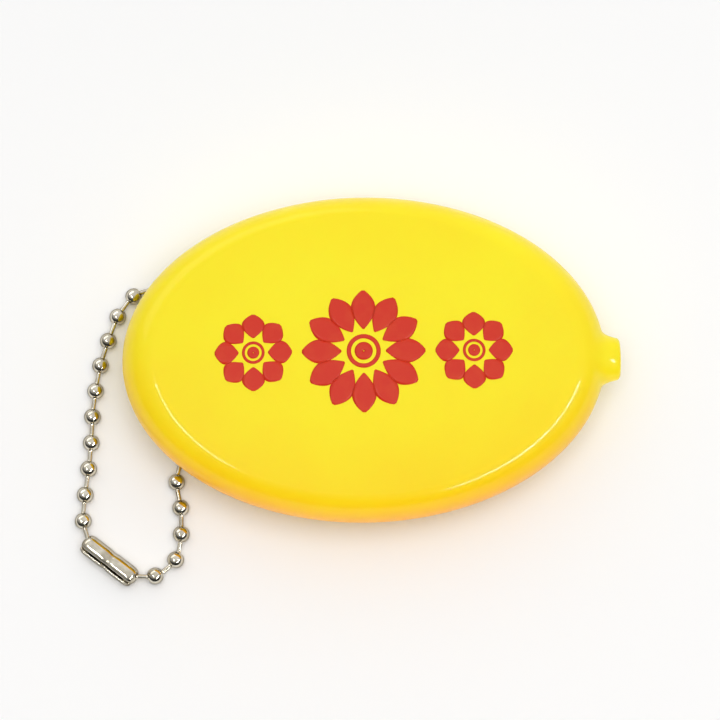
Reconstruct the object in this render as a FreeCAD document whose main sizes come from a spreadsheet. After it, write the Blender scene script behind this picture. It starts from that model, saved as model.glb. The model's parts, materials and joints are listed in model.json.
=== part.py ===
import FreeCAD, Part
import math
import os
import Sketcher

# Squeeze coin purse lying on its slit: +X to the pull neck, +Y across, +Z up, mm.
# The origin is the middle of the slit, on the plane the purse rests on.

DOC = FreeCAD.newDocument("coin_purse")
UP = FreeCAD.Vector(0, 0, 1)

SIZES = [
    ("purse_length", 80.0, "oval, without the neck"),
    ("purse_width", 54.4, "oval, across"),
    ("back_depth", 8.0, "parting line above the rest plane"),
    ("front_rise", 8.2, "front crown above the parting line"),
    ("wall", 1.6, "vinyl wall"),
    ("back_knuckle", 3.0, "corner radius under the parting line"),
    ("front_knuckle", 6.6, "corner radius over the parting line"),
    ("flat_length", 18.0, "flat patch the purse rests on"),
    ("neck_reach", 2.4, "neck beyond the oval"),
    ("neck_width", 7.0, "neck at its flat end, across"),
    ("neck_height", 5.6, "neck at its flat end, upright"),
    ("neck_flare", 2.0, "how much the neck widens on each side at the oval"),
    ("neck_edge", 0.5, "rounded end of the neck"),
    ("neck_shift", 0.5, "neck off the line of the slit"),
    ("mouth_length", 50.0, "part of the slit that opens"),
    ("mouth_width", 28.0, "flexing part of the back, across"),
    ("mouth_gap", 0.4, "clearance from lip to shell"),
    ("slit_gap", 0.3, "clearance between the lips"),
    ("slit_length", 53.0, "whole cut"),
    ("eyelet", 4.4, "chain hole in the back"),
    ("eyelet_inset", 11.45, "chain holes from the blunt end of the oval"),
    ("eyelet_shift", 1.57, "middle of the chain holes off the slit"),
    ("eyelet_margin", 1.0, "least wall between a chain hole and the mouth"),
    ("bead", 2.8, "chain bead diameter"),
    ("bead_wall", 0.2, "rolled sheet of the bead"),
    ("bead_hole", 1.26, "hole at both ends of the bead"),
    ("link_wire", 0.76, "wire between two beads"),
    ("link_head", 1.33, "head of the wire inside the bead"),
    ("head_seat", 0.72, "head off the middle of its bead"),
    ("chain_pitch", 4.4, "bead to bead"),
    ("bridge_clearance", 0.35, "bead over the strip between the holes"),
    ("coupling_length", 10.2, "rolled coupling"),
    ("coupling_width", 3.5, "rolled coupling, outside"),
    ("coupling_wall", 0.28, "sheet of the coupling"),
    ("coupling_mouth", 2.46, "hole at both ends of the coupling"),
    ("coupling_seat", 0.06, "play of the end bead"),
    ("coupling_seam", 0.7, "open seam of the coupling"),
    ("coupling_waist", 0.9, "wire radius of the rolled waist"),
    ("waist_depth", 0.14, "depth of the rolled waist"),
]

sheet = DOC.addObject("Spreadsheet::Sheet", "sizes")
for row, (alias, value, note) in enumerate(SIZES, start=1):
    sheet.set("A%d" % row, note)
    sheet.set("B%d" % row, str(value))
    sheet.setAlias("B%d" % row, alias)
DOC.recompute()


def size(alias):
    """Value of one cell of the size sheet."""
    return float(getattr(sheet, alias))


def bind(obj, **expressions):
    """Tie properties of an object to expressions over the size sheet."""
    for prop, expression in expressions.items():
        obj.setExpression(prop.replace("__", "."), expression)
    return obj


def add(kind, name, **expressions):
    """New document object with its sizes bound to the sheet."""
    return bind(DOC.addObject(kind, name), **expressions)


def cut(name, base, tool):
    """Boolean difference of two objects."""
    result = DOC.addObject("Part::Cut", name)
    result.Base = base
    result.Tool = tool
    return result


def common(name, base, tool):
    """Boolean intersection of two objects."""
    result = DOC.addObject("Part::Common", name)
    result.Base = base
    result.Tool = tool
    return result


def fuse(name, *shapes):
    """Boolean union of several objects."""
    result = DOC.addObject("Part::MultiFuse", name)
    result.Shapes = list(shapes)
    return result


def plane_of(body, role):
    """Origin plane of a body, found by its role."""
    return [f for f in body.Origin.OriginFeatures if f.Role == role][0]


# Dished oval: a flat, a shallow crown and a tight knuckle, turned and drawn out to an oval

# Depth of the flat into the crown before the sketch is solved
FLAT_DEPTH = 0.3


def dished_solid(name, inset):
    """Turned dish whose every wall lies inset inside the outline, then scaled across."""
    body = DOC.addObject("PartDesign::Body", name + "_turned")
    sketch = body.newObject("Sketcher::SketchObject", name + "_profile")
    sketch.AttachmentSupport = [(plane_of(body, "XZ_Plane"), "")]
    sketch.MapMode = "FlatFace"
    half = size("purse_length") / 2 - inset
    middle = size("back_depth")
    low = inset
    high = middle + size("front_rise") - inset
    flat = size("flat_length") / 2
    back = size("back_knuckle") - inset
    front = size("front_knuckle") - inset

    def crown_radius(reach, knuckle, depth):
        """Radius of the crown that meets a knuckle smoothly."""
        return (reach ** 2 + depth ** 2 - knuckle ** 2) / (2 * (depth - knuckle))

    back_crown = crown_radius(half - back, back, middle - low + FLAT_DEPTH)
    front_crown = crown_radius(half - front, front, high - middle)
    back_turn = math.asin((half - back) / (back_crown - back))
    front_turn = math.asin((half - front) / (front_crown - front))

    def arc(x, y, radius, start, end):
        """Counter-clockwise arc in the sketch."""
        circle = Part.Circle(FreeCAD.Vector(x, y, 0), UP, radius)
        return Part.ArcOfCircle(circle, start, end)

    corner = -math.pi / 2
    sketch.addGeometry([
        Part.LineSegment(FreeCAD.Vector(0, low, 0), FreeCAD.Vector(flat, low, 0)),
        arc(0, low - FLAT_DEPTH + back_crown, back_crown, corner + flat / back_crown, corner + back_turn),
        arc(half - back, middle, back, corner + back_turn, 0),
        arc(half - front, middle, front, 0, -corner - front_turn),
        arc(0, high - front_crown, front_crown, -corner - front_turn, -corner),
        Part.LineSegment(FreeCAD.Vector(0, high, 0), FreeCAD.Vector(0, low, 0)),
    ], False)
    sketch.addConstraint([
        Sketcher.Constraint("Coincident", 0, 2, 1, 1),
        Sketcher.Constraint("Tangent", 1, 2, 2, 1),
        Sketcher.Constraint("Coincident", 2, 2, 3, 1),
        Sketcher.Constraint("Tangent", 3, 2, 4, 1),
        Sketcher.Constraint("Coincident", 4, 2, 5, 1),
        Sketcher.Constraint("Coincident", 5, 2, 0, 1),
        Sketcher.Constraint("PointOnObject", 0, 1, -2),
        Sketcher.Constraint("PointOnObject", 4, 2, -2),
        Sketcher.Constraint("PointOnObject", 1, 3, -2),
        Sketcher.Constraint("PointOnObject", 4, 3, -2),
        Sketcher.Constraint("Horizontal", 0),
        Sketcher.Constraint("Horizontal", 2, 3, 2, 2),
        Sketcher.Constraint("Horizontal", 3, 3, 3, 1),
    ])
    step = " - sizes.wall" if inset else ""
    measures = [
        ("DistanceX", (0, 1, 0, 2), "flat", flat, "sizes.flat_length / 2"),
        ("DistanceX", (-1, 1, 2, 2), "half", half, "sizes.purse_length / 2" + step),
        ("DistanceY", (-1, 1, 2, 2), "middle", middle, "sizes.back_depth"),
        ("Radius", (2,), "back", back, "sizes.back_knuckle" + step),
        ("Radius", (3,), "front", front, "sizes.front_knuckle" + step),
        ("DistanceY", (-1, 1, 4, 2), "high", high, "sizes.back_depth + sizes.front_rise" + step),
    ]
    if inset:
        measures.append(("DistanceY", (-1, 1, 0, 1), "low", low, "sizes.wall"))
    else:
        sketch.addConstraint(Sketcher.Constraint("PointOnObject", 0, 1, -1))
    for kind, refs, label, value, expression in measures:
        index = sketch.addConstraint(Sketcher.Constraint(kind, *refs, value))
        sketch.renameConstraint(index, label)
    for kind, refs, label, value, expression in measures:
        sketch.setExpression("Constraints." + label, expression)
    turn = body.newObject("PartDesign::Revolution", name + "_turn")
    turn.Profile = sketch
    turn.ReferenceAxis = (sketch, ["V_Axis"])
    turn.Angle = 360
    body.Tip = turn
    oval = DOC.addObject("Part::Scale", name)
    oval.Base = body
    oval.Uniform = False
    ratio = "(sizes.purse_width / 2{0}) / (sizes.purse_length / 2{0})".format(step)
    bind(oval, YScale=ratio)
    DOC.recompute()
    return oval, sketch


outer, outer_profile = dished_solid("outer_oval", 0.0)
inner, inner_profile = dished_solid("coin_room", size("wall"))

# Pull neck: a short flattened stub that flares into the end of the oval


def neck_section(name, offset, width, height):
    """Upright ellipse across the neck, offset from the end of the oval."""
    ellipse = add("Part::Ellipse", name, MajorRadius=width + " / 2", MinorRadius=height + " / 2")
    across = FreeCAD.Rotation(FreeCAD.Vector(0, 1, 0), UP, FreeCAD.Vector(1, 0, 0), "XYZ")
    ellipse.Placement.Rotation = across
    return bind(
        ellipse,
        Placement__Base__x="sizes.purse_length / 2 + " + offset,
        Placement__Base__y="-sizes.neck_shift",
        Placement__Base__z="sizes.back_depth",
    )


def neck_solid():
    """Loft of four ellipses with its free end rounded."""
    wide = "(sizes.neck_width + %s * sizes.neck_flare)"
    tall = "(sizes.neck_height + %s * sizes.neck_edge)"
    loft = DOC.addObject("Part::Loft", "neck_loft")
    loft.Sections = [
        neck_section("neck_inside", "-1.6 * sizes.neck_reach", wide % "5.0", tall % "0.6"),
        neck_section("neck_root", "-0.3 * sizes.neck_reach", wide % "1.1", tall % "0.5"),
        neck_section("neck_throat", "0.4 * sizes.neck_reach", wide % "0.15", tall % "0.2"),
        neck_section("neck_end", "sizes.neck_reach", wide % "0", tall % "0"),
    ]
    loft.Solid = True
    loft.Ruled = False
    DOC.recompute()
    edges = loft.Shape.Edges
    end = max(range(len(edges)), key=lambda index: edges[index].CenterOfMass.x)
    rounded = DOC.addObject("Part::Fillet", "neck")
    rounded.Base = loft
    rounded.Edges = [(end + 1, size("neck_edge"), size("neck_edge"))]
    DOC.recompute()
    return rounded


neck = neck_solid()

# Hollow body, the flexing lips and the holes for the chain


def mouth_prism(name, inset):
    """Upright oval prism through the back wall only, inset inside the mouth outline.

    It ends short of the chain holes, however near to the end of the oval the mouth reaches.
    """
    outline = add(
        "Part::Ellipse",
        name + "_outline",
        MajorRadius="sizes.mouth_length / 2 - " + inset,
        MinorRadius="sizes.mouth_width / 2 - " + inset,
    )
    prism = add("Part::Extrusion", name + "_oval", LengthFwd="sizes.back_depth * 0.9", LengthRev="sizes.wall")
    prism.Base = outline
    prism.DirMode = "Custom"
    prism.Dir = UP
    prism.Solid = True
    holes_end = "sizes.eyelet_inset - sizes.purse_length / 2 + sizes.eyelet / 2"
    ahead = add(
        "Part::Box",
        name + "_ahead",
        Length="sizes.purse_length",
        Width="sizes.purse_width",
        Height="sizes.back_depth * 2",
        Placement__Base__x=holes_end + " + sizes.eyelet_margin + " + inset,
        Placement__Base__y="-sizes.purse_width / 2",
        Placement__Base__z="-2 * sizes.wall",
    )
    return common(name, prism, ahead)


def half_room(name, side):
    """Block on one side of the slit, clear of it by half the slit gap.

    It starts a hair over the rest plane, so that the drawn-out flat is trimmed to a true plane.
    """
    block = add(
        "Part::Box",
        name,
        Length="sizes.purse_length",
        Width="sizes.purse_width",
        Height="sizes.back_depth * 2",
        Placement__Base__x="-sizes.purse_length / 2",
        Placement__Base__z="sizes.wall / 160",
    )
    low = "sizes.slit_gap / 2" if side > 0 else "-sizes.slit_gap / 2 - sizes.purse_width"
    return bind(block, Placement__Base__y=low)


solid_body = fuse("purse_blank", outer, neck)
hollow_body = cut("purse_hollow", solid_body, inner)
mouth_tool = mouth_prism("mouth_tool", "0")
lip_tool = mouth_prism("lip_tool", "sizes.mouth_gap")
slit_tool = add(
    "Part::Box",
    "slit_tool",
    Length="sizes.slit_length",
    Width="sizes.slit_gap",
    Height="sizes.back_depth",
    Placement__Base__x="-sizes.slit_length / 2",
    Placement__Base__y="-sizes.slit_gap / 2",
    Placement__Base__z="-sizes.wall",
)
lip_ring = common("lip_ring", hollow_body, lip_tool)
upper_lip = common("upper_lip", lip_ring, half_room("upper_side", 1))
lower_lip = common("lower_lip", lip_ring, half_room("lower_side", -1))
DOC.recompute()

# Chain route: up through one hole, over the strip between the holes, down through the other

crown = outer_profile.Geometry[1]
stretch = size("purse_length") / size("purse_width")
pitch = size("chain_pitch")
bead_radius = size("bead") / 2
# The wall slopes at the holes, so upright it measures a little more
WALL_SLANT = 1.03
hole_x = size("eyelet_inset") - size("purse_length") / 2
bridge_y = -size("eyelet_shift")


def back_height(x, y):
    """Height of the outer back face over the rest plane."""
    return crown.Center.y - math.sqrt(crown.Radius ** 2 - x ** 2 - (y * stretch) ** 2)


top_y = abs(bridge_y) + pitch / 2
top_z = back_height(hole_x, top_y) + WALL_SLANT * size("wall") + size("bridge_clearance") + bead_radius
coupling_z = size("coupling_width") / 2
seat = size("head_seat")
wire = pitch - 2 * seat
# The link from the hole to the table slopes less than the one inside the purse
SECOND_SLOPE = 0.78

# Headings of the links on the table in degrees from +X, link after link away from the holes
LEFT_HEADINGS = [111, 153, 195, 233, 249, 252, 259, 263, 268, 264, 262, 264, 288]
RIGHT_HEADINGS = [244, 255, 282, 271, 260, 218, 176]
COUPLING_HEADING = 142


def toward(heading, slope=0.0):
    """Unit vector from a heading and a downward slope, both in degrees."""
    turn, dip = math.radians(heading), math.radians(slope)
    level = math.cos(dip)
    return FreeCAD.Vector(level * math.cos(turn), level * math.sin(turn), -math.sin(dip))


def settle(error, low, high):
    """Argument between low and high at which a rising error is zero, by bisection."""
    for step in range(50):
        middle = (low + high) / 2
        if error(middle) < 0:
            low = middle
        else:
            high = middle
    return middle


def walk(ways):
    """Link ends, bead middles and bead axes along links in the given directions.

    A link ends at its two heads. A bead joins two heads and lies midway between the directions
    of its links, so each head tilts by half of the turn.
    """
    head = FreeCAD.Vector(0, 0, 0) - ways[0] * (wire / 2)
    links, middles, axes = [], [], []
    for way, following in zip(ways, ways[1:] + ways[-1:]):
        links.append((head, head + way * wire))
        axis = (way + following).normalize()
        middles.append(links[-1][1] + axis * seat)
        axes.append(axis)
        head = middles[-1] + axis * seat
    return links, middles, axes


def strand(side, headings):
    """One strand from the middle of the strip between the holes to the coupling.

    The slope down to the table is settled on the third bead and the rise into the coupling on
    the last one.
    """

    def ways(slope, rise):
        """Directions of the links of the strand."""
        out = 90 * side
        drop = [toward(out), toward(out, slope), toward(out, slope * SECOND_SLOPE)]
        level = [toward(heading) for heading in headings[:-1]]
        return drop + level + [toward(headings[-1], -rise)]

    def fallen(slope):
        """How far the first head on the table lies below its place."""
        links, middles, axes = walk(ways(slope, 0))
        first_level = links[3][0]
        return middles[0].z - first_level.z - (top_z - bead_radius)

    def risen(rise):
        """How far the last bead lies above its place in the coupling."""
        middles = walk(ways(slope, rise))[1]
        return middles[-1].z - middles[0].z - (coupling_z - top_z)

    slope = settle(fallen, 5, 75)
    rise = settle(risen, -25, 25)
    links, middles, axes = walk(ways(slope, rise))
    base = FreeCAD.Vector(hole_x, bridge_y, top_z - middles[0].z)
    links = [(start + base, end + base) for start, end in links]
    return links, [middle + base for middle in middles], axes


mouth_radius = size("coupling_mouth") / 2
bead_stop = math.sqrt(bead_radius ** 2 - mouth_radius ** 2)
bead_inset = bead_stop + size("coupling_seat") + size("coupling_wall")
coupling_span = size("coupling_length") - 2 * bead_inset
right_links, right, right_axes = strand(-1, RIGHT_HEADINGS)
goal = right[-1] + toward(COUPLING_HEADING) * coupling_span
pivot = FreeCAD.Vector(hole_x, bridge_y + 2 * pitch, coupling_z)


def bent(bend, turn):
    """Left headings with every turn about their mean scaled by bend, then all turned."""
    mean = sum(LEFT_HEADINGS) / len(LEFT_HEADINGS)
    return [mean + turn + bend * (heading - mean) for heading in LEFT_HEADINGS]


def closing_headings():
    """Left headings that end at the coupling: bent to its distance, then turned towards it."""
    turn = 0.0
    for step in range(15):

        def short(bend):
            """How much the strand falls short of the distance to the coupling."""
            return (goal - pivot).Length - (strand(1, bent(bend, turn))[1][-1] - pivot).Length

        bend = settle(short, 0.5, 1.5)
        reached = strand(1, bent(bend, turn))[1][-1] - pivot
        wanted = goal - pivot
        miss = math.degrees(math.atan2(wanted.y, wanted.x) - math.atan2(reached.y, reached.x))
        turn += (miss + 180) % 360 - 180
    print("left strand bent by", round(bend, 3), "turned by", round(turn, 2), "missed by", miss)
    return bent(bend, turn)


left_links, left, left_axes = strand(1, closing_headings())
beads = list(reversed(left)) + right
bead_axes = list(reversed(left_axes)) + right_axes
links = [(end, start) for start, end in reversed(left_links)] + right_links[1:]

# Shell with its mouth, the ends of the slit and the two chain holes


def eyelet_tool(name, middle):
    """Upright drill for one chain hole through the back, over the bead that hangs in it."""
    drill = add(
        "Part::Cylinder",
        name,
        Radius="sizes.eyelet / 2",
        Height="sizes.back_depth * 0.9 + sizes.wall",
    )
    drill.Placement.Base = FreeCAD.Vector(middle.x, middle.y, -size("wall"))
    return drill


openings = fuse(
    "openings",
    mouth_tool,
    slit_tool,
    eyelet_tool("left_eyelet", left[1]),
    eyelet_tool("right_eyelet", right[1]),
)
purse_shell = cut("purse_shell", hollow_body, openings)

# Chain pieces, each modelled along its own Z and then laid on the route


def lay(obj, middle, direction, roll=0.0):
    """Place a piece with its Z along direction, turned by roll degrees about itself."""
    spin = FreeCAD.Rotation(UP, direction).multiply(FreeCAD.Rotation(UP, roll))
    obj.Placement = FreeCAD.Placement(middle, spin)
    return obj


def make_bead(number, middle, direction):
    """Hollow ball of rolled sheet with a hole at both ends."""
    tag = "bead_%02d_" % number
    ball = add("Part::Sphere", tag + "ball", Radius="sizes.bead / 2")
    room = add("Part::Sphere", tag + "room", Radius="sizes.bead / 2 - sizes.bead_wall")
    bore = add(
        "Part::Cylinder",
        tag + "bore",
        Radius="sizes.bead_hole / 2",
        Height="sizes.bead * 1.2",
        Placement__Base__z="-sizes.bead * 0.6",
    )
    piece = cut("chain_bead_%02d" % number, ball, fuse(tag + "inside", room, bore))
    return lay(piece, middle, direction)


def make_link(number, start, end):
    """Dumb-bell of wire whose two heads sit inside neighbouring beads."""
    tag = "link_%02d_" % number
    reach = "(sizes.chain_pitch / 2 - sizes.head_seat)"
    wire = add(
        "Part::Cylinder",
        tag + "wire",
        Radius="sizes.link_wire / 2",
        Height="2 * " + reach,
        Placement__Base__z="-" + reach,
    )
    heads = []
    for end_name, sign in (("near", "-"), ("far", "")):
        head = add("Part::Sphere", tag + end_name, Radius="sizes.link_head / 2")
        heads.append(bind(head, Placement__Base__z=sign + reach))
    piece = fuse("chain_link_%02d" % number, wire, *heads)
    return lay(piece, (start + end) * 0.5, end - start)


def make_coupling(start, end):
    """Rolled sleeve with turned-in ends, a rolled waist and an open seam."""
    sleeve = add(
        "Part::Cylinder",
        "coupling_sleeve",
        Radius="sizes.coupling_width / 2",
        Height="sizes.coupling_length",
        Placement__Base__z="-sizes.coupling_length / 2",
    )
    room = add(
        "Part::Cylinder",
        "coupling_room",
        Radius="sizes.coupling_width / 2 - sizes.coupling_wall",
        Height="sizes.coupling_length - 2 * sizes.coupling_wall",
        Placement__Base__z="sizes.coupling_wall - sizes.coupling_length / 2",
    )
    mouths = add(
        "Part::Cylinder",
        "coupling_mouths",
        Radius="sizes.coupling_mouth / 2",
        Height="sizes.coupling_length * 1.2",
        Placement__Base__z="-sizes.coupling_length * 0.6",
    )
    seam = add(
        "Part::Box",
        "coupling_seam",
        Length="sizes.coupling_width",
        Width="sizes.coupling_seam",
        Height="sizes.coupling_length * 1.2",
        Placement__Base__y="-sizes.coupling_seam / 2",
        Placement__Base__z="-sizes.coupling_length * 0.6",
    )
    waist = add(
        "Part::Torus",
        "coupling_waist",
        Radius1="sizes.coupling_width / 2 + sizes.coupling_waist - sizes.waist_depth",
        Radius2="sizes.coupling_waist",
    )
    inside = fuse("coupling_inside", room, mouths, seam, waist)
    return lay(cut("chain_coupling", sleeve, inside), (start + end) * 0.5, end - start, SEAM_ROLL)


# The open seam of the coupling faces sideways and a little down
SEAM_ROLL = 200.0


pieces = [purse_shell, upper_lip, lower_lip]
for number, (middle, axis) in enumerate(zip(beads, bead_axes), start=1):
    pieces.append(make_bead(number, middle, axis))
for number, (start, end) in enumerate(links, start=1):
    pieces.append(make_link(number, start, end))
pieces.append(make_coupling(beads[0], beads[-1]))
DOC.recompute()

# Check every object, then write one STEP file per piece

for obj in DOC.Objects:
    if "Invalid" in obj.State or "Error" in obj.State:
        raise RuntimeError("%s did not compute: %s" % (obj.Name, obj.State))
os.makedirs("parts", exist_ok=True)
for piece in pieces:
    if piece.Shape.isNull() or not piece.Shape.isValid() or len(piece.Shape.Solids) != 1:
        raise RuntimeError("%s is not one valid solid" % piece.Label)
    piece.Shape.exportStep("parts/%s.step" % piece.Label)
print("pieces", len(pieces))
for number, middle in enumerate(beads, start=1):
    print("bead %02d" % number, [round(value, 4) for value in middle])
for number, ends in enumerate(links, start=1):
    print("link %02d" % number, [round(value, 4) for end in ends for value in end])
print("crown", round(crown.Radius, 4), round(crown.Center.y, 4))
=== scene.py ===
"""Squeeze coin purse: moulded vinyl body with a slit in its back, printed front and ball chain."""

import json
import math

import bpy
import numpy as np
from bpy.props import FloatProperty, FloatVectorProperty, IntProperty, PointerProperty, StringProperty
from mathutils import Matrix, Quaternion, Vector


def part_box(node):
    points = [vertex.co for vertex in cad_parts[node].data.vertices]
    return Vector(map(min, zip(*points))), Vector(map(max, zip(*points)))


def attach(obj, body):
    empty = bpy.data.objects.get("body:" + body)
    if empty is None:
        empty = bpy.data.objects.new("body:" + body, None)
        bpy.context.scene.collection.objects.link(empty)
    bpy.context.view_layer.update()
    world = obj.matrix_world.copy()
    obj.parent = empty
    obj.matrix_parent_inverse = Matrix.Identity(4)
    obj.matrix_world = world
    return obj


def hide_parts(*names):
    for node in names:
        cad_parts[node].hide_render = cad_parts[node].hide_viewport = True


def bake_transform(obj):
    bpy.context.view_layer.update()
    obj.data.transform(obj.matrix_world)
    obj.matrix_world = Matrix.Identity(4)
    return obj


bl_info = {
    "name": "Squeeze coin purse",
    "version": (1, 0, 0),
    "blender": (4, 5, 0),
    "location": "3D View > Sidebar > Purse",
    "description": "Builds the visible surfaces of a squeeze coin purse around its packed frame",
    "category": "Object",
}

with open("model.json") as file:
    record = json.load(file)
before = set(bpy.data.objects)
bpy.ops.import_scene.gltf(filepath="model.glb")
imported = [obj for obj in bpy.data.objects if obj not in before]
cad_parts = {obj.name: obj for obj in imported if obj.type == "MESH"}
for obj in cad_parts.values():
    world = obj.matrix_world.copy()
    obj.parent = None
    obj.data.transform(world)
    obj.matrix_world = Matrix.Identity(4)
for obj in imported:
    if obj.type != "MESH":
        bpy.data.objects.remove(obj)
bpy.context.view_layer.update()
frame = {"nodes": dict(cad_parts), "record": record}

MM = 0.001
BEADS = sorted(name for name in frame["nodes"] if name.startswith("chain_bead"))
LINKS = sorted(name for name in frame["nodes"] if name.startswith("chain_link"))
BODY_OF = {node: body for body, nodes in frame["record"]["behaviour"]["bodies"].items() for node in nodes}


def box_middle(node):
    """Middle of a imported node's box, as an array."""
    low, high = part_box(node)
    return (np.array(low) + np.array(high)) / 2


def length_prop(name, value, description):
    """Length property with a default in millimetres."""
    return FloatProperty(name=name, description=description, default=value * MM, unit="LENGTH", precision=5)


class PurseSizes(bpy.types.PropertyGroup):
    """Sizes of the moulded body."""

    length: length_prop("Length", 80.0, "Oval from end to end, without the neck")
    width: length_prop("Width", 54.4, "Oval across")
    back_depth: length_prop("Back depth", 8.0, "Parting line above the table")
    front_rise: length_prop("Front rise", 8.2, "Crown of the front above the parting line")
    wall: length_prop("Wall", 1.6, "Vinyl wall")
    back_knuckle: length_prop("Back corner", 3.0, "Corner radius under the parting line")
    front_knuckle: length_prop("Front corner", 6.6, "Corner radius over the parting line")
    flat_depth: length_prop("Rest patch depth", 0.3, "Depth of the flat patch into the crown of the back")
    neck_reach: length_prop("Neck reach", 2.4, "Neck beyond the end of the oval")
    neck_width: length_prop("Neck width", 7.0, "Neck across, at its flat end")
    neck_height: length_prop("Neck height", 5.6, "Neck upright, at its flat end")
    neck_shift: length_prop("Neck shift", 0.5, "Neck off the line of the slit")
    slit_length: length_prop("Slit length", 53.0, "Cut along the back")
    slit_gap: length_prop("Slit gap", 0.3, "Gap between the lips at rest")
    eyelet: length_prop("Eyelet", 4.4, "Chain hole in the back")
    around: IntProperty(
        name="Columns", description="Grid columns over half of the oval", default=240, min=60
    )


class OrnamentSizes(bpy.types.PropertyGroup):
    """Sizes of the printed rosettes."""

    film: length_prop("Film", 0.02, "Ink film, drawn thicker than real ink so that its edge shows")
    middle_radius: length_prop("Middle rosette", 10.2, "Reach of the middle petals")
    side_radius: length_prop("Side rosettes", 6.4, "Reach of the petals to either side")
    side_offset: length_prop("Side offset", 18.0, "Middle to a side rosette")


class ChainSizes(bpy.types.PropertyGroup):
    """Sizes of the ball chain and its coupling."""

    bead: length_prop("Bead", 2.8, "Bead diameter")
    bead_wall: length_prop("Bead wall", 0.2, "Rolled sheet of the bead")
    bead_hole: length_prop("Bead hole", 1.26, "Hole at each end of the bead")
    link_wire: length_prop("Wire", 0.76, "Wire between the beads")
    link_head: length_prop("Head", 1.33, "Head of the wire inside a bead")
    link_length: length_prop("Link", 2.96, "Link between the middles of its heads")
    coupling_length: length_prop("Coupling length", 10.2, "Rolled coupling")
    coupling_width: length_prop("Coupling width", 3.5, "Rolled coupling, outside")
    coupling_wall: length_prop("Coupling wall", 0.28, "Sheet of the coupling")
    coupling_mouth: length_prop("Coupling mouth", 2.46, "Hole at each end of the coupling")
    coupling_seam: length_prop("Coupling seam", 0.7, "Open seam along the coupling")
    seam_roll: FloatProperty(
        name="Seam roll",
        description="Turn of the open seam about the coupling",
        default=math.radians(186),
        subtype="ANGLE",
    )


class PurseColours(bpy.types.PropertyGroup):
    """Colours as sRGB hex values."""

    vinyl: StringProperty(name="Vinyl", description="Soft vinyl where light falls on it", default="#FFEE1C")
    # Painted shade: the deeper colour that the rim is mixed towards where it turns away from the light.
    vinyl_painted_shade: StringProperty(name="Deep vinyl", description="Thick vinyl at the rim", default="#FFB208")
    ink: StringProperty(name="Ink", description="Printed ink", default="#D22D14")
    ink_worn: StringProperty(name="Worn ink", description="Ink where it is thin", default="#DA4A1E")
    nickel: StringProperty(name="Nickel", description="Bright nickel plate", default="#E2DCCC")
    nickel_dull: StringProperty(name="Dull nickel", description="Plate with a haze", default="#B6AC96")
    # Painted shade: a near-black edge tint darkens the plate seen edge-on, beyond what nickel reflects
    # there.
    nickel_edge_shade: StringProperty(name="Nickel edge", description="Plate seen edge-on", default="#202020")
    floor: StringProperty(name="Floor", description="Sweep under the purse", default="#FDFDFD")


class StageSettings(bpy.types.PropertyGroup):
    """Camera and light."""

    elevation: FloatProperty(
        name="Elevation", description="Camera above the table", default=math.radians(80.5), subtype="ANGLE"
    )
    roll: FloatProperty(
        name="Roll", description="Turn of the picture", default=math.radians(-0.69), subtype="ANGLE"
    )
    distance: FloatProperty(
        name="Distance", description="Camera to its target", default=0.45, unit="LENGTH"
    )
    target: FloatVectorProperty(
        name="Target",
        description="Point in the middle of the picture",
        default=(-0.00062, -0.00013, 0.008),
        subtype="XYZ",
    )
    span: FloatProperty(
        name="Span", description="Picture width at the target", default=0.11935, unit="LENGTH"
    )
    bright: FloatProperty(
        name="Bright sky", description="Strength of the sky at its brightest", default=0.86, min=0.0
    )
    dim: FloatProperty(
        name="Dim sky", description="Strength of the sky away from that", default=0.04, min=0.0
    )


# Materials


def linear(code):
    """Linear colour from an sRGB hex value."""
    values = np.array([int(code[start:start + 2], 16) for start in (1, 3, 5)]) / 255
    low = values / 12.92
    high = ((values + 0.055) / 1.055) ** 2.4
    return (*np.where(values <= 0.04045, low, high).tolist(), 1.0)


def add_node(tree, kind, values=None, links=None, **options):
    """Add a node with its options, its socket values and the sockets that feed it."""
    node = tree.nodes.new(kind)
    for key, value in options.items():
        setattr(node, key, value)
    for socket, value in (values or {}).items():
        node.inputs[socket].default_value = value
    for socket, source in (links or {}).items():
        tree.links.new(source, node.inputs[socket])
    return node


def noise(tree, place, millimetres, detail):
    """Noise whose features are this many millimetres apart."""
    values = {"Scale": 1000 / millimetres, "Detail": detail}
    return add_node(tree, "ShaderNodeTexNoise", values, {"Vector": place}).outputs["Fac"]


def map_range(tree, value, before, after, **options):
    """Map a value from one range to another, held at both ends."""
    values = {"From Min": before[0], "From Max": before[1], "To Min": after[0], "To Max": after[1]}
    return add_node(tree, "ShaderNodeMapRange", values, {"Value": value}, **options).outputs["Result"]


def math_of(tree, operation, first, second):
    """Add or multiply two values."""
    links = {0: first, 1: second}
    return add_node(tree, "ShaderNodeMath", None, links, operation=operation).outputs["Value"]


def mix_colours(tree, share, first, second):
    """Mix two sRGB hex values by a share."""
    values = {"A": linear(first), "B": linear(second)}
    node = add_node(tree, "ShaderNodeMix", values, {"Factor": share}, data_type="RGBA")
    return node.outputs["Result"]


def bump(tree, height, strength, distance):
    """Normal of a surface that is raised by a height."""
    values = {"Strength": strength, "Distance": distance}
    return add_node(tree, "ShaderNodeBump", values, {"Height": height}).outputs["Normal"]


def new_material(name):
    """Empty node material, its tree and its Object coordinates."""
    material = bpy.data.materials.get(name) or bpy.data.materials.new(name)
    material.use_nodes = True
    tree = material.node_tree
    tree.nodes.clear()
    return material, tree, add_node(tree, "ShaderNodeTexCoord").outputs["Object"]


def add_surface(tree, values, links):
    """End a material in a Principled surface."""
    shader = add_node(tree, "ShaderNodeBsdfPrincipled", values, links)
    add_node(tree, "ShaderNodeOutputMaterial", None, {"Surface": shader.outputs["BSDF"]})


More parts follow.
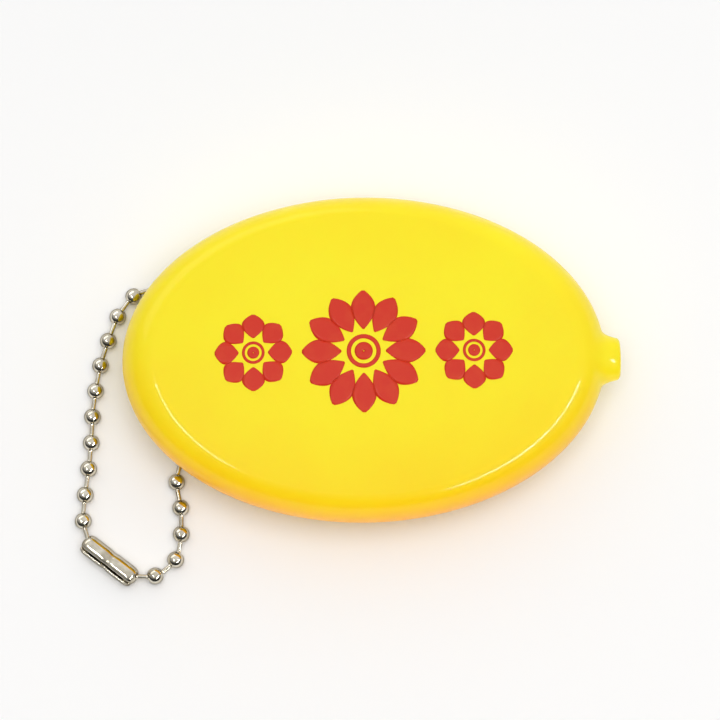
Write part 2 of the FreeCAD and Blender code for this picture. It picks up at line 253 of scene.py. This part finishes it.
def moulded_vinyl():
    """Soft PVC, slush moulded and glossy.

    Light goes into it and comes back warmer. Its colour is painted deeper round the rim as painted shade
    where the rim turns away from the light. The shade is most on the -Y side, away from the light, and
    least on the neck, and random clouds of deeper tone lie over it. The polished mould leaves a thin glossy
    skin with a slight orange peel over a satin body.
    """
    sizes, colours = bpy.context.scene.purse_sizes, bpy.context.scene.purse_colours
    rim_height, rim_reach = sizes.back_depth + 0.5 * MM, 8.2 * MM
    # Painted shade: deeper towards the -Y side, which faces away from the light, and less on the neck.
    shade_y_full, shade_y_end, shade_y_rest = -25 * MM, 8 * MM, 0.22
    neck_start, neck_end, neck_rest = 36 * MM, 40.5 * MM, 0.2
    smooth = {"interpolation_type": "SMOOTHSTEP"}
    material, tree, place = new_material("glossy_moulded_vinyl")
    clouds = map_range(tree, noise(tree, place, 16, 3.0), (0.35, 0.75), (0.0, 0.12))
    along = add_node(tree, "ShaderNodeSeparateXYZ", None, {"Vector": place}).outputs
    from_rim = add_node(tree, "ShaderNodeMath", {1: rim_height}, {0: along["Z"]}, operation="SUBTRACT")
    off_rim = add_node(tree, "ShaderNodeMath", None, {0: from_rim.outputs["Value"]}, operation="ABSOLUTE")
    rim = map_range(tree, off_rim.outputs["Value"], (rim_reach, 0.0), (0.0, 1.0))
    shade_by_y = map_range(tree, along["Y"], (shade_y_full, shade_y_end), (1.0, shade_y_rest), **smooth)
    off_neck = map_range(tree, along["X"], (neck_start, neck_end), (1.0, neck_rest), **smooth)
    # Painted shade on the rim, weighted by side and neck; the next line adds random clouds of deeper tone.
    painted_rim_shade = math_of(tree, "MULTIPLY", math_of(tree, "MULTIPLY", rim, shade_by_y), off_neck)
    depth = math_of(tree, "ADD", painted_rim_shade, clouds)
    peel = bump(tree, noise(tree, place, 1.6, 2.0), 0.12, 0.02 * MM)
    add_surface(
        tree,
        {
            "IOR": 1.53,
            "Specular IOR Level": 0.1,
            "Subsurface Weight": 0.2,
            "Subsurface Radius": (1.0, 0.6, 0.2),
            "Subsurface Scale": 0.5 * MM,
            "Coat Weight": 0.34,
            "Coat Roughness": 0.07,
            "Coat IOR": 1.53,
        },
        {
            # Base colour: painted shade mixed in round the rim, with random clouds of deeper tone.
            "Base Color": mix_colours(tree, depth, colours.vinyl, colours.vinyl_painted_shade),
            "Roughness": map_range(tree, noise(tree, place, 7, 4.0), (0.3, 0.7), (0.34, 0.46)),
            "Normal": peel,
            "Coat Normal": peel,
        },
    )
    return material


def printed_ink():
    """Pad-printed ink: a thin satin film, slightly uneven where the pad lifted."""
    colours = bpy.context.scene.purse_colours
    material, tree, place = new_material("pad_printed_ink")
    thin = map_range(tree, noise(tree, place, 2.4, 5.0), (0.45, 0.8), (0.0, 0.4))
    # The grain of the pad is finer than this and is drawn coarse enough to show.
    grain = noise(tree, place, 0.7, 3.0)
    add_surface(
        tree,
        {"IOR": 1.5, "Specular IOR Level": 0.25},
        {
            "Base Color": mix_colours(tree, thin, colours.ink, colours.ink_worn),
            "Roughness": map_range(tree, grain, (0.3, 0.7), (0.3, 0.42)),
            "Normal": bump(tree, grain, 0.15, 0.01 * MM),
        },
    )
    return material


def nickel_plate():
    """Nickel-plated steel, tumbled: bright, with fine rubbing marks and a faint warm haze."""
    colours = bpy.context.scene.purse_colours
    material, tree, place = new_material("tumbled_nickel_plate")
    haze = map_range(tree, noise(tree, place, 1.8, 4.0), (0.4, 0.72), (0.0, 1.0))
    # Rubbing marks are finer than this and are drawn coarse enough to show.
    rub = noise(tree, place, 0.5, 3.0)
    add_surface(
        tree,
        # The edge tint is painted shade on the edges of the plate.
        {"Metallic": 1.0, "Specular Tint": linear(colours.nickel_edge_shade)},
        {
            "Base Color": mix_colours(tree, haze, colours.nickel, colours.nickel_dull),
            "Roughness": map_range(tree, rub, (0.3, 0.7), (0.05, 0.14)),
            "Normal": bump(tree, rub, 0.1, 0.01 * MM),
        },
    )
    return material


def paper_sweep():
    """Matt white paper: a faint tooth and hardly any gloss."""
    colours = bpy.context.scene.purse_colours
    material, tree, place = new_material("matt_paper_sweep")
    # The tooth of paper is finer than this and is drawn coarse enough to show.
    tooth = noise(tree, place, 0.8, 2.0)
    add_surface(
        tree,
        {"Base Color": linear(colours.floor), "Roughness": 0.9, "Specular IOR Level": 0.1},
        {"Normal": bump(tree, tooth, 0.05, 0.02 * MM)},
    )
    return material


# Meshes from grids


def stacked(*parts):
    """Numbers and arrays that broadcast together, side by side along a new last axis."""
    return np.stack(np.broadcast_arrays(*parts), axis=-1)


def grid_faces(rows, columns, wrap_rows=False, wrap_columns=False):
    """Quads between neighbouring points of a grid, closed around where asked."""
    down = np.arange(rows if wrap_rows else rows - 1)[:, None]
    across = np.arange(columns if wrap_columns else columns - 1)[None, :]
    below = (down + 1) % rows
    beside = (across + 1) % columns
    corners = stacked(
        down * columns + across,
        down * columns + beside,
        below * columns + beside,
        below * columns + across,
    )
    return corners.reshape(-1, 4)


def new_piece(name, points, faces, material):
    """Smooth-shaded mesh object at the origin from arrays in metres."""
    mesh = bpy.data.meshes.new(name)
    mesh.from_pydata(points.reshape(-1, 3).tolist(), [], [list(face) for face in faces])
    mesh.validate()
    mesh.polygons.foreach_set("use_smooth", np.ones(len(mesh.polygons), dtype=bool))
    mesh.materials.append(material)
    piece = bpy.data.objects.new(name, mesh)
    bpy.context.scene.collection.objects.link(piece)
    return piece


def crease(piece, degrees):
    """Mark edges sharper than an angle, so that corners stay crisp under smooth shading."""
    piece.data.set_sharp_from_angle(angle=math.radians(degrees))


# Moulded body


def crown_of(reach, knuckle, depth):
    """Radius of a crown that meets a corner arc smoothly, and the angle where they meet."""
    radius = (reach ** 2 + depth ** 2 - knuckle ** 2) / (2 * (depth - knuckle))
    return radius, math.asin(reach / (radius - knuckle))


def columns_of(sizes):
    """Angles over half of the oval: even steps less a sine, which crowds them at its two ends."""
    crowding = 0.35
    share = np.linspace(0, 1, sizes.around + 1)
    return math.pi * share - crowding * np.sin(2 * math.pi * share)


def with_neck(points, sizes):
    """Push the end of the oval out to the neck.

    A point moves towards the neck's flat end by a share that is one inside the neck's upright
    ellipse and falls off as a curve outside it, further above and below than to the sides. This
    leaves the concave root of the neck. The flat end drops off towards the ellipse, which rounds
    its edge.
    """
    side_fall, upright_fall, fall_curve = 0.55, 0.65, 4
    edge_start, edge_drop, edge_curve = 0.78, 0.4 * MM, 2.5
    x, y, z = np.moveaxis(points, -1, 0)
    across = 2 * (y + sizes.neck_shift) / sizes.neck_width
    upright = 2 * (z - sizes.back_depth) / sizes.neck_height
    reach = np.hypot(across, upright)
    fall = side_fall + upright_fall * (upright / np.maximum(reach, 1)) ** 2
    share = np.clip(1 - (reach - 1) / fall, 0, 1) ** fall_curve * (x > 0)
    rounded = np.clip((reach - edge_start) / (1 - edge_start), 0, 1) ** edge_curve
    end = sizes.length / 2 + sizes.neck_reach - edge_drop * rounded
    return stacked(x + (end - x) * share, y, z)


def front_wall(sizes, inset, rows):
    """Front of the oval from the parting line to its crown, inset inside the outer face.

    The profile is a corner arc and a crown arc about the upright axis, drawn out to an oval:
    radius times cosine along the slit and times sine across, scaled to the width.
    """
    crown_spacing = 0.9
    half, across = sizes.length / 2 - inset, sizes.width / 2 - inset
    knuckle, rise = sizes.front_knuckle - inset, sizes.front_rise - inset
    crown, meet = crown_of(half - knuckle, knuckle, rise)
    turn = np.linspace(0, math.pi / 2 - meet, rows)
    lean = meet * (1 - np.linspace(0, 1, rows + 1)[1:] ** crown_spacing)
    radius = np.concatenate([half - knuckle + knuckle * np.cos(turn), crown * np.sin(lean)])
    height = np.concatenate([knuckle * np.sin(turn), rise - crown + crown * np.cos(lean)])
    half_turn = columns_of(sizes)
    angle = np.concatenate([half_turn, 2 * math.pi - half_turn[-2:0:-1]])[None, :]
    radius, height = radius[:, None], height[:, None] + sizes.back_depth
    x = radius * np.cos(angle)
    y = radius * np.sin(angle) * across / half
    return stacked(x, y, height)


def back_height(sizes, radius):
    """Height of the outer back face at a radius drawn out to the oval: a crown cut flat below."""
    knuckle, depth = sizes.back_knuckle, sizes.back_depth + sizes.flat_depth
    crown = crown_of(sizes.length / 2 - knuckle, knuckle, depth)[0]
    return np.maximum(crown - sizes.flat_depth - np.sqrt(crown ** 2 - radius ** 2), 0.0)


def back_half(sizes, side, rows):
    """Half of the outer back, from the slit to the parting line.

    Rows are ovals that grow from the slit, an oval with no width, to the corner; from there
    they climb the corner arc. Columns run round half of each oval. Close to the slit the points
    move aside by half of its gap, as an ellipse along it.
    """
    gap_reach = 2 * MM
    half, ratio = sizes.length / 2, sizes.width / sizes.length
    knuckle = sizes.back_knuckle
    meet = crown_of(half - knuckle, knuckle, sizes.back_depth + sizes.flat_depth)[1]
    angle = columns_of(sizes)[None, :]
    grow = np.linspace(0, 1, rows + 1)[:, None]
    reach = half - knuckle + knuckle * math.sin(meet)
    x = (sizes.slit_length / 2 + (reach - sizes.slit_length / 2) * grow) * np.cos(angle)
    y = reach * ratio * grow * np.sin(angle)
    flat = stacked(x, y, back_height(sizes, np.hypot(x, y / ratio)))
    turn = np.linspace(meet, math.pi / 2, rows // 2 + 1)[1:, None]
    radius = half - knuckle + knuckle * np.sin(turn)
    height = sizes.back_depth - knuckle * np.cos(turn)
    corner = stacked(radius * np.cos(angle), radius * ratio * np.sin(angle), height)
    points = np.concatenate([flat, corner])
    open_share = np.clip(1 - (points[..., 0] / (sizes.slit_length / 2)) ** 2, 0, 1) ** 0.5
    near = np.clip(1 - points[..., 1] / gap_reach, 0, 1)
    points[..., 1] += sizes.slit_gap / 2 * open_share * near
    points[..., 1] *= side
    return points


def punched(points, faces, sizes, middle):
    """Punch a round hole: faces wholly inside it go, and corners left inside move out to its edge."""
    away = points[:, :2] - middle
    distance = np.hypot(*away.T)
    inside = distance < sizes.eyelet / 2
    kept = faces[~inside[faces].all(axis=1)]
    moved = middle + away * (sizes.eyelet / 2 / np.maximum(distance, 1e-9))[:, None]
    edge = np.zeros(len(points), dtype=bool)
    edge[kept] = True
    edge &= inside
    result = points.copy()
    result[edge, :2] = moved[edge]
    stretch = sizes.length / sizes.width
    result[edge, 2] = back_height(sizes, np.hypot(moved[edge, 0], moved[edge, 1] * stretch))
    used = np.unique(kept)
    renumber = np.zeros(len(points), dtype=int)
    renumber[used] = np.arange(len(used))
    return result[used], renumber[kept]


class PURSE_OT_front(bpy.types.Operator):
    """Printed front of the body with the upper half of the neck"""

    bl_idname = "purse.front"
    bl_label = "Front"

    def execute(self, context):
        """Outer face and inner face, each closed at its crown by one point, and the rim between them."""
        sizes = context.scene.purse_sizes
        arc_rows = 36
        outer = with_neck(front_wall(sizes, 0.0, arc_rows), sizes)
        inner = front_wall(sizes, sizes.wall, arc_rows)
        rows, columns = outer.shape[0] - 1, outer.shape[1]
        total = rows * columns
        skin = grid_faces(rows, columns, wrap_columns=True)
        lining = skin[:, ::-1] + total
        ring = np.arange(columns)
        after = (ring + 1) % columns
        rim = stacked(ring + total, after + total, after, ring)
        last = total - columns
        outer_cap = stacked(last + ring, last + after, 2 * total)
        inner_cap = stacked(last + total + after, last + total + ring, 2 * total + 1)
        points = np.concatenate(
            [outer[:-1].reshape(-1, 3), inner[:-1].reshape(-1, 3), outer[-1, :1], inner[-1, :1]]
        )
        faces = [*skin, *lining, *rim, *outer_cap, *inner_cap]
        piece = new_piece("purse_front", points, faces, moulded_vinyl())
        crease(piece, 60)
        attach(piece, "purse")
        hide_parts("purse_shell")
        return {"FINISHED"}


class PURSE_OT_back(bpy.types.Operator):
    """Back of the body in two halves that meet at the slit"""

    bl_idname = "purse.back"
    bl_label = "Back"

    def execute(self, context):
        """One sheet per half with a live wall, thinner in the neck.
        """
        sizes = context.scene.purse_sizes
        rows = 56
        neck_edge, neck_wall = sizes.length / 2 - 0.5 * MM, 0.3
        material = moulded_vinyl()
        for side, lip, bead in ((1, "upper_lip", "chain_bead_15"), (-1, "lower_lip", "chain_bead_18")):
            half = with_neck(back_half(sizes, side, rows), sizes)
            faces = grid_faces(*half.shape[:2])
            faces = faces if side > 0 else faces[:, ::-1]
            points, faces = punched(half.reshape(-1, 3), faces, sizes, box_middle(bead)[:2])
            piece = new_piece("purse_back_" + lip.split("_")[0], points, faces, material)
            thin = piece.vertex_groups.new(name="wall")
            in_neck = points[:, 0] > neck_edge
            thin.add(np.flatnonzero(~in_neck).tolist(), 1.0, "REPLACE")
            thin.add(np.flatnonzero(in_neck).tolist(), neck_wall, "REPLACE")
            wall = piece.modifiers.new("wall", "SOLIDIFY")
            wall.thickness = sizes.wall
            wall.offset = -1.0
            wall.vertex_group = "wall"
            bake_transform(piece)
            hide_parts(lip)
        return {"FINISHED"}


# Printed ornament


def lens_patch(start, end, width, rows=14, columns=7):
    """Petal between two points: its half width follows a sine along it, a little full at the tip."""
    tip, lean, fullness = 0.02, 1.15, 0.8
    along = np.linspace(tip, 1 - tip, rows)[:, None]
    across = np.linspace(-1, 1, columns)[None, :]
    way = end - start
    side = np.array([-way[1], way[0]]) / np.hypot(*way)
    spread = width / 2 * np.sin(math.pi * along ** lean) ** fullness
    return start + along[..., None] * way + (across * spread)[..., None] * side


def ring_patch(middle, inner, outer, rows=4, columns=48):
    """Flat ring between two circles, or a disc where the inner radius is close to nothing."""
    radius = np.linspace(inner, outer, rows)[:, None]
    angle = np.linspace(0, 2 * math.pi, columns, endpoint=False)[None, :]
    return middle + stacked(radius * np.cos(angle), radius * np.sin(angle))


def on_front(plan, sizes, lift):
    """Lay a flat pattern on the crown of the front, lifted off it."""
    knuckle = sizes.front_knuckle
    crown = crown_of(sizes.length / 2 - knuckle, knuckle, sizes.front_rise)[0]
    x, y = plan[..., 0], plan[..., 1]
    radius = np.hypot(x, y * sizes.length / sizes.width)
    top = sizes.back_depth + sizes.front_rise + lift
    return stacked(x, y, top - crown + np.sqrt(crown ** 2 - radius ** 2))


class PURSE_OT_ornament(bpy.types.Operator):
    """Printed row of rosettes on the front"""

    bl_idname = "purse.ornament"
    bl_label = "Ornament"

    def execute(self, context):
        """Petals and rings as thin patches on the crown, each with the thickness of the ink."""
        sizes, ornament = context.scene.purse_sizes, context.scene.purse_ornament
        middle_petals, middle_hub = 12, 2.4 * MM
        side_petals, side_hub = 8, 1.6 * MM
        petal_start, petal_width = 1.45, 1.5
        disc, ring = (0.04, 0.62), (0.86, 1.16)
        lift = 0.01 * MM
        patches = []

        def rosette(x, radius, petals, hub):
            """Petals around a disc and a ring, whose radii are shares of the hub's."""
            middle = np.array([x, 0.0])
            for turn in np.arange(petals) * 2 * math.pi / petals + math.pi / 2:
                way = np.array([math.cos(turn), math.sin(turn)])
                width = petal_width * math.pi * radius / petals
                foot, tip = middle + hub * petal_start * way, middle + radius * way
                patches.append((lens_patch(foot, tip, width), False))
            for inner, outer in (disc, ring):
                patches.append((ring_patch(middle, hub * inner, hub * outer), True))

        rosette(0.0, ornament.middle_radius, middle_petals, middle_hub)
        for side in (-1, 1):
            rosette(side * ornament.side_offset, ornament.side_radius, side_petals, side_hub)
        points, faces, count = [], [], 0
        for plan, wrap in patches:
            points.append(on_front(plan, sizes, lift).reshape(-1, 3))
            faces.append(grid_faces(*plan.shape[:2], wrap_columns=wrap)[:, ::-1] + count)
            count += len(points[-1])
        piece = new_piece(
            "front_ornament", np.concatenate(points), np.concatenate(faces), printed_ink()
        )
        film = piece.modifiers.new("film", "SOLIDIFY")
        film.thickness = ornament.film
        film.offset = 1.0
        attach(piece, "purse")
        return {"FINISHED"}


# Ball chain


def turned(profile, angles, middle, axis):
    """Turn a profile of (radius, along) points about an axis through middle."""
    spin = np.array(Vector((0, 0, 1)).rotation_difference(Vector(axis)).to_matrix())
    radius, along = profile[:, None, 0], profile[:, None, 1]
    turn = angles[None, :]
    shape = stacked(radius * np.cos(turn), radius * np.sin(turn), along)
    return shape @ spin.T + middle


def chain_ways(chain):
    """Unit direction of each link, from the sides of its box and the beads that it joins."""
    middles = np.array([box_middle(name) for name in BEADS])
    corners = np.array([[list(corner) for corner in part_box(name)] for name in LINKS])
    sides = np.maximum(corners[:, 1] - corners[:, 0] - chain.link_head, 0.0)
    ways = sides * np.sign(middles[1:] - middles[:-1])
    return middles, ways / np.linalg.norm(ways, axis=1, keepdims=True)


class PURSE_OT_beads(bpy.types.Operator):
    """Hollow beads of the chain"""

    bl_idname = "purse.beads"
    bl_label = "Beads"

    def execute(self, context):
        """A rolled ball: outer arc, lip, inner arc and lip turned about the line of its links."""
        chain = context.scene.purse_chain
        middles, ways = chain_ways(chain)
        axes = np.concatenate([ways[:1], ways[1:] + ways[:-1], ways[-1:]])
        outside, inside, hole = chain.bead / 2, chain.bead / 2 - chain.bead_wall, chain.bead_hole / 2
        lip = 0.05 * MM
        outer_rows, inner_rows, columns = 30, 12, 40
        first = math.asin((hole + lip) / outside)
        outer = np.linspace(first, math.pi - first, outer_rows)
        second = math.asin(hole / inside)
        inner = np.linspace(math.pi - second, second, inner_rows)
        skin = stacked(outside * np.sin(outer), outside * np.cos(outer))
        lining = stacked(inside * np.sin(inner), inside * np.cos(inner))
        profile = np.concatenate([skin, lining])
        angles = np.linspace(0, 2 * math.pi, columns, endpoint=False)
        faces = grid_faces(len(profile), columns, wrap_rows=True, wrap_columns=True)[:, ::-1]
        material = nickel_plate()
        for name, middle, axis in zip(BEADS, middles, axes):
            points = turned(profile, angles, middle, axis)
            piece = new_piece(name + "_ball", points, faces, material)
            crease(piece, 50)
            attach(piece, BODY_OF[name])
            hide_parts(name)
        return {"FINISHED"}


class PURSE_OT_links(bpy.types.Operator):
    """Dumb-bell links between the beads"""

    bl_idname = "purse.links"
    bl_label = "Links"

    def execute(self, context):
        """A wire with two headed ends: two head arcs joined by the wire, turned about the link."""
        chain = context.scene.purse_chain
        ways = chain_ways(chain)[1]
        head, wire, half = chain.link_head / 2, chain.link_wire / 2, chain.link_length / 2
        tip, head_rows = 0.04, 12
        wire_end, wire_rows, columns = 0.85, 6, 20
        neck = math.asin(wire / head)
        arc = np.linspace(tip, math.pi - neck, head_rows)
        upper = stacked(head * np.sin(arc), half + head * np.cos(arc))
        straight = stacked(wire, np.linspace(wire_end, -wire_end, wire_rows) * (half - head))
        lower = upper[::-1] * np.array([1, -1])
        profile = np.concatenate([upper, straight, lower])
        angles = np.linspace(0, 2 * math.pi, columns, endpoint=False)
        sides = grid_faces(len(profile), columns, wrap_columns=True)[:, ::-1]
        ring = np.arange(columns)
        ends = [ring, (len(profile) - 1) * columns + ring[::-1]]
        material = nickel_plate()
        for name, way in zip(LINKS, ways):
            points = turned(profile, angles, box_middle(name), way)
            piece = new_piece(name + "_wire", points, [*sides, *ends], material)
            crease(piece, 50)
            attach(piece, BODY_OF[name])
            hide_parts(name)
        return {"FINISHED"}


class PURSE_OT_coupling(bpy.types.Operator):
    """Rolled coupling that closes the chain"""

    bl_idname = "purse.coupling"
    bl_label = "Coupling"

    def execute(self, context):
        """A sheet rolled round an axis, open at its seam.

        Its radius over its length is a straight barrel with a bell-curve waist, an elliptic corner at
        each end, and a flat turned in to the mouth.
        """
        chain = context.scene.purse_chain
        start, end = box_middle(BEADS[0]), box_middle(BEADS[-1])
        half, outside = chain.coupling_length / 2, chain.coupling_width / 2
        mouth, corner, taper = chain.coupling_mouth / 2, 0.5 * MM, 1.1 * MM
        waist_depth, waist_reach = 0.14 * MM, 0.75 * MM
        cap_rows, barrel_rows, columns = 8, 65, 61
        turn = np.linspace(0, math.pi / 2, cap_rows)
        along = np.linspace(-1, 1, barrel_rows)
        waist = waist_depth * np.exp(-((along * half / waist_reach) ** 2))
        cap = stacked(outside - corner + corner * np.sin(turn), half - taper + taper * np.cos(turn))
        rim = np.array([[mouth, half]])
        barrel = stacked(outside - waist, -along * (half - taper))[1:-1]
        profile = np.concatenate([rim, cap, barrel, cap[::-1] * [1, -1], rim * [1, -1]])
        gap = chain.coupling_seam / 2 / outside
        angles = chain.seam_roll + np.linspace(gap, 2 * math.pi - gap, columns)
        points = turned(profile, angles, (start + end) / 2, end - start)
        faces = grid_faces(len(profile), columns)[:, ::-1]
        piece = new_piece("chain_coupling_sleeve", points, faces, nickel_plate())
        sheet = piece.modifiers.new("sheet", "SOLIDIFY")
        sheet.thickness = chain.coupling_wall
        sheet.offset = -1.0
        sheet.use_even_offset = True
        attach(piece, BODY_OF["chain_coupling"])
        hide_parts("chain_coupling")
        return {"FINISHED"}


# Stage

# Name, place, size, watts, colour; True for a lamp that is only mirrored, False for one that only lights
LAMPS = (
    ("left_strip", (-0.371, -0.152, 0.862), (0.42, 0.06), 1.6, "#FFFFFF", True),
    ("right_strip", (0.56, -0.42, 0.69), (0.9, 0.05), 5.2, "#FFFFFF", True),
    ("window", (-0.42, 0.62, 0.46), (1.0, 0.4), 1.4, "#FFFFFF", True),
    ("key_box", (0.09, -0.03, 0.93), (0.75, 0.75), 4.0, "#FFFFFF", False),
    ("low_fill", (0.0, -0.7, 0.05), (1.6, 0.06), 3.2, "#FFEBD6", False),
)


class PURSE_OT_stage(bpy.types.Operator):
    """Floor, light and camera"""

    bl_idname = "purse.stage"
    bl_label = "Stage"

    def execute(self, context):
        """A paper sweep, a soft sky, lamps to mirror, lamps to light, and the camera."""
        scene = context.scene
        stage = scene.purse_stage
        floor_half, floor_rows, floor_drop = 1.5, 9, 0.05 * MM
        bright_way, sky_foot, sky_top = (0.05, 0.66, 0.75), -0.12, 0.8
        scene.view_settings.view_transform = "Standard"
        reach = np.linspace(-floor_half, floor_half, floor_rows)
        floor = stacked(reach[None, :], reach[:, None], -floor_drop)
        mesh = bpy.data.meshes.new("floor")
        mesh.from_pydata(floor.reshape(-1, 3).tolist(), [], grid_faces(floor_rows, floor_rows).tolist())
        mesh.materials.append(paper_sweep())
        sweep = bpy.data.objects.new("floor", mesh)
        scene.collection.objects.link(sweep)

        world = bpy.data.worlds.new("soft_sky")
        world.use_nodes = True
        tree = world.node_tree
        tree.nodes.clear()
        way = add_node(tree, "ShaderNodeTexCoord").outputs["Generated"]
        lean = add_node(tree, "ShaderNodeVectorMath", {1: bright_way}, {0: way}, operation="DOT_PRODUCT")
        level = map_range(tree, lean.outputs["Value"], (sky_foot, sky_top), (stage.dim, stage.bright))
        sky = add_node(tree, "ShaderNodeBackground", {"Color": (1, 1, 1, 1)}, {"Strength": level})
        add_node(tree, "ShaderNodeOutputWorld", None, {"Surface": sky.outputs["Background"]})
        scene.world = world

        for name, place, size, watts, colour, mirrored in LAMPS:
            light = bpy.data.lights.new(name, "AREA")
            light.shape = "RECTANGLE"
            light.size, light.size_y = size
            light.energy = watts
            light.color = linear(colour)[:3]
            lamp = bpy.data.objects.new(name, light)
            lamp.location = place
            lamp.visible_camera = False
            lamp.visible_glossy = mirrored
            lamp.visible_diffuse = not mirrored
            lamp.rotation_euler = (-Vector(place)).to_track_quat("-Z", "Y").to_euler()
            scene.collection.objects.link(lamp)

        camera = bpy.data.cameras.new("camera")
        camera.sensor_fit = "HORIZONTAL"
        camera.angle = 2 * math.atan(stage.span / 2 / stage.distance)
        viewer = bpy.data.objects.new("camera", camera)
        away = Vector((0, -math.cos(stage.elevation), math.sin(stage.elevation)))
        viewer.location = Vector(stage.target) + away * stage.distance
        turn = (-away).to_track_quat("-Z", "Y") @ Quaternion((0, 0, 1), stage.roll)
        viewer.rotation_euler = turn.to_euler()
        scene.collection.objects.link(viewer)
        scene.camera = viewer
        return {"FINISHED"}


class PURSE_PT_panel(bpy.types.Panel):
    """Sizes, colours and steps of the purse"""

    bl_idname = "PURSE_PT_panel"
    bl_label = "Squeeze coin purse"
    bl_space_type = "VIEW_3D"
    bl_region_type = "UI"
    bl_category = "Purse"

    def draw(self, context):
        """List the properties and then the operators."""
        for group_name in GROUPS:
            group = getattr(context.scene, group_name)
            box = self.layout.box()
            for name in group.bl_rna.properties.keys():
                if name not in {"rna_type", "name"}:
                    box.prop(group, name)
        for operator in OPERATORS:
            self.layout.operator(operator.bl_idname)


GROUPS = {
    "purse_sizes": PurseSizes,
    "purse_ornament": OrnamentSizes,
    "purse_chain": ChainSizes,
    "purse_colours": PurseColours,
    "purse_stage": StageSettings,
}
OPERATORS = (
    PURSE_OT_stage,
    PURSE_OT_front,
    PURSE_OT_back,
    PURSE_OT_ornament,
    PURSE_OT_beads,
    PURSE_OT_links,
    PURSE_OT_coupling,
)


def register():
    """Register the classes and put the property groups on the scene."""
    for cls in (*GROUPS.values(), *OPERATORS, PURSE_PT_panel):
        bpy.utils.register_class(cls)
    for name, group in GROUPS.items():
        setattr(bpy.types.Scene, name, PointerProperty(type=group))


def unregister():
    """Take the property groups off the scene and unregister the classes."""
    for name in GROUPS:
        delattr(bpy.types.Scene, name)
    for cls in reversed((*GROUPS.values(), *OPERATORS, PURSE_PT_panel)):
        bpy.utils.unregister_class(cls)


def main():
    """Build everything in order."""
    register()
    bpy.ops.purse.stage()
    bpy.ops.purse.front()
    bpy.ops.purse.back()
    bpy.ops.purse.ornament()
    bpy.ops.purse.beads()
    bpy.ops.purse.links()
    bpy.ops.purse.coupling()
    bpy.context.view_layer.update()


if __name__ == "__main__":
    main()
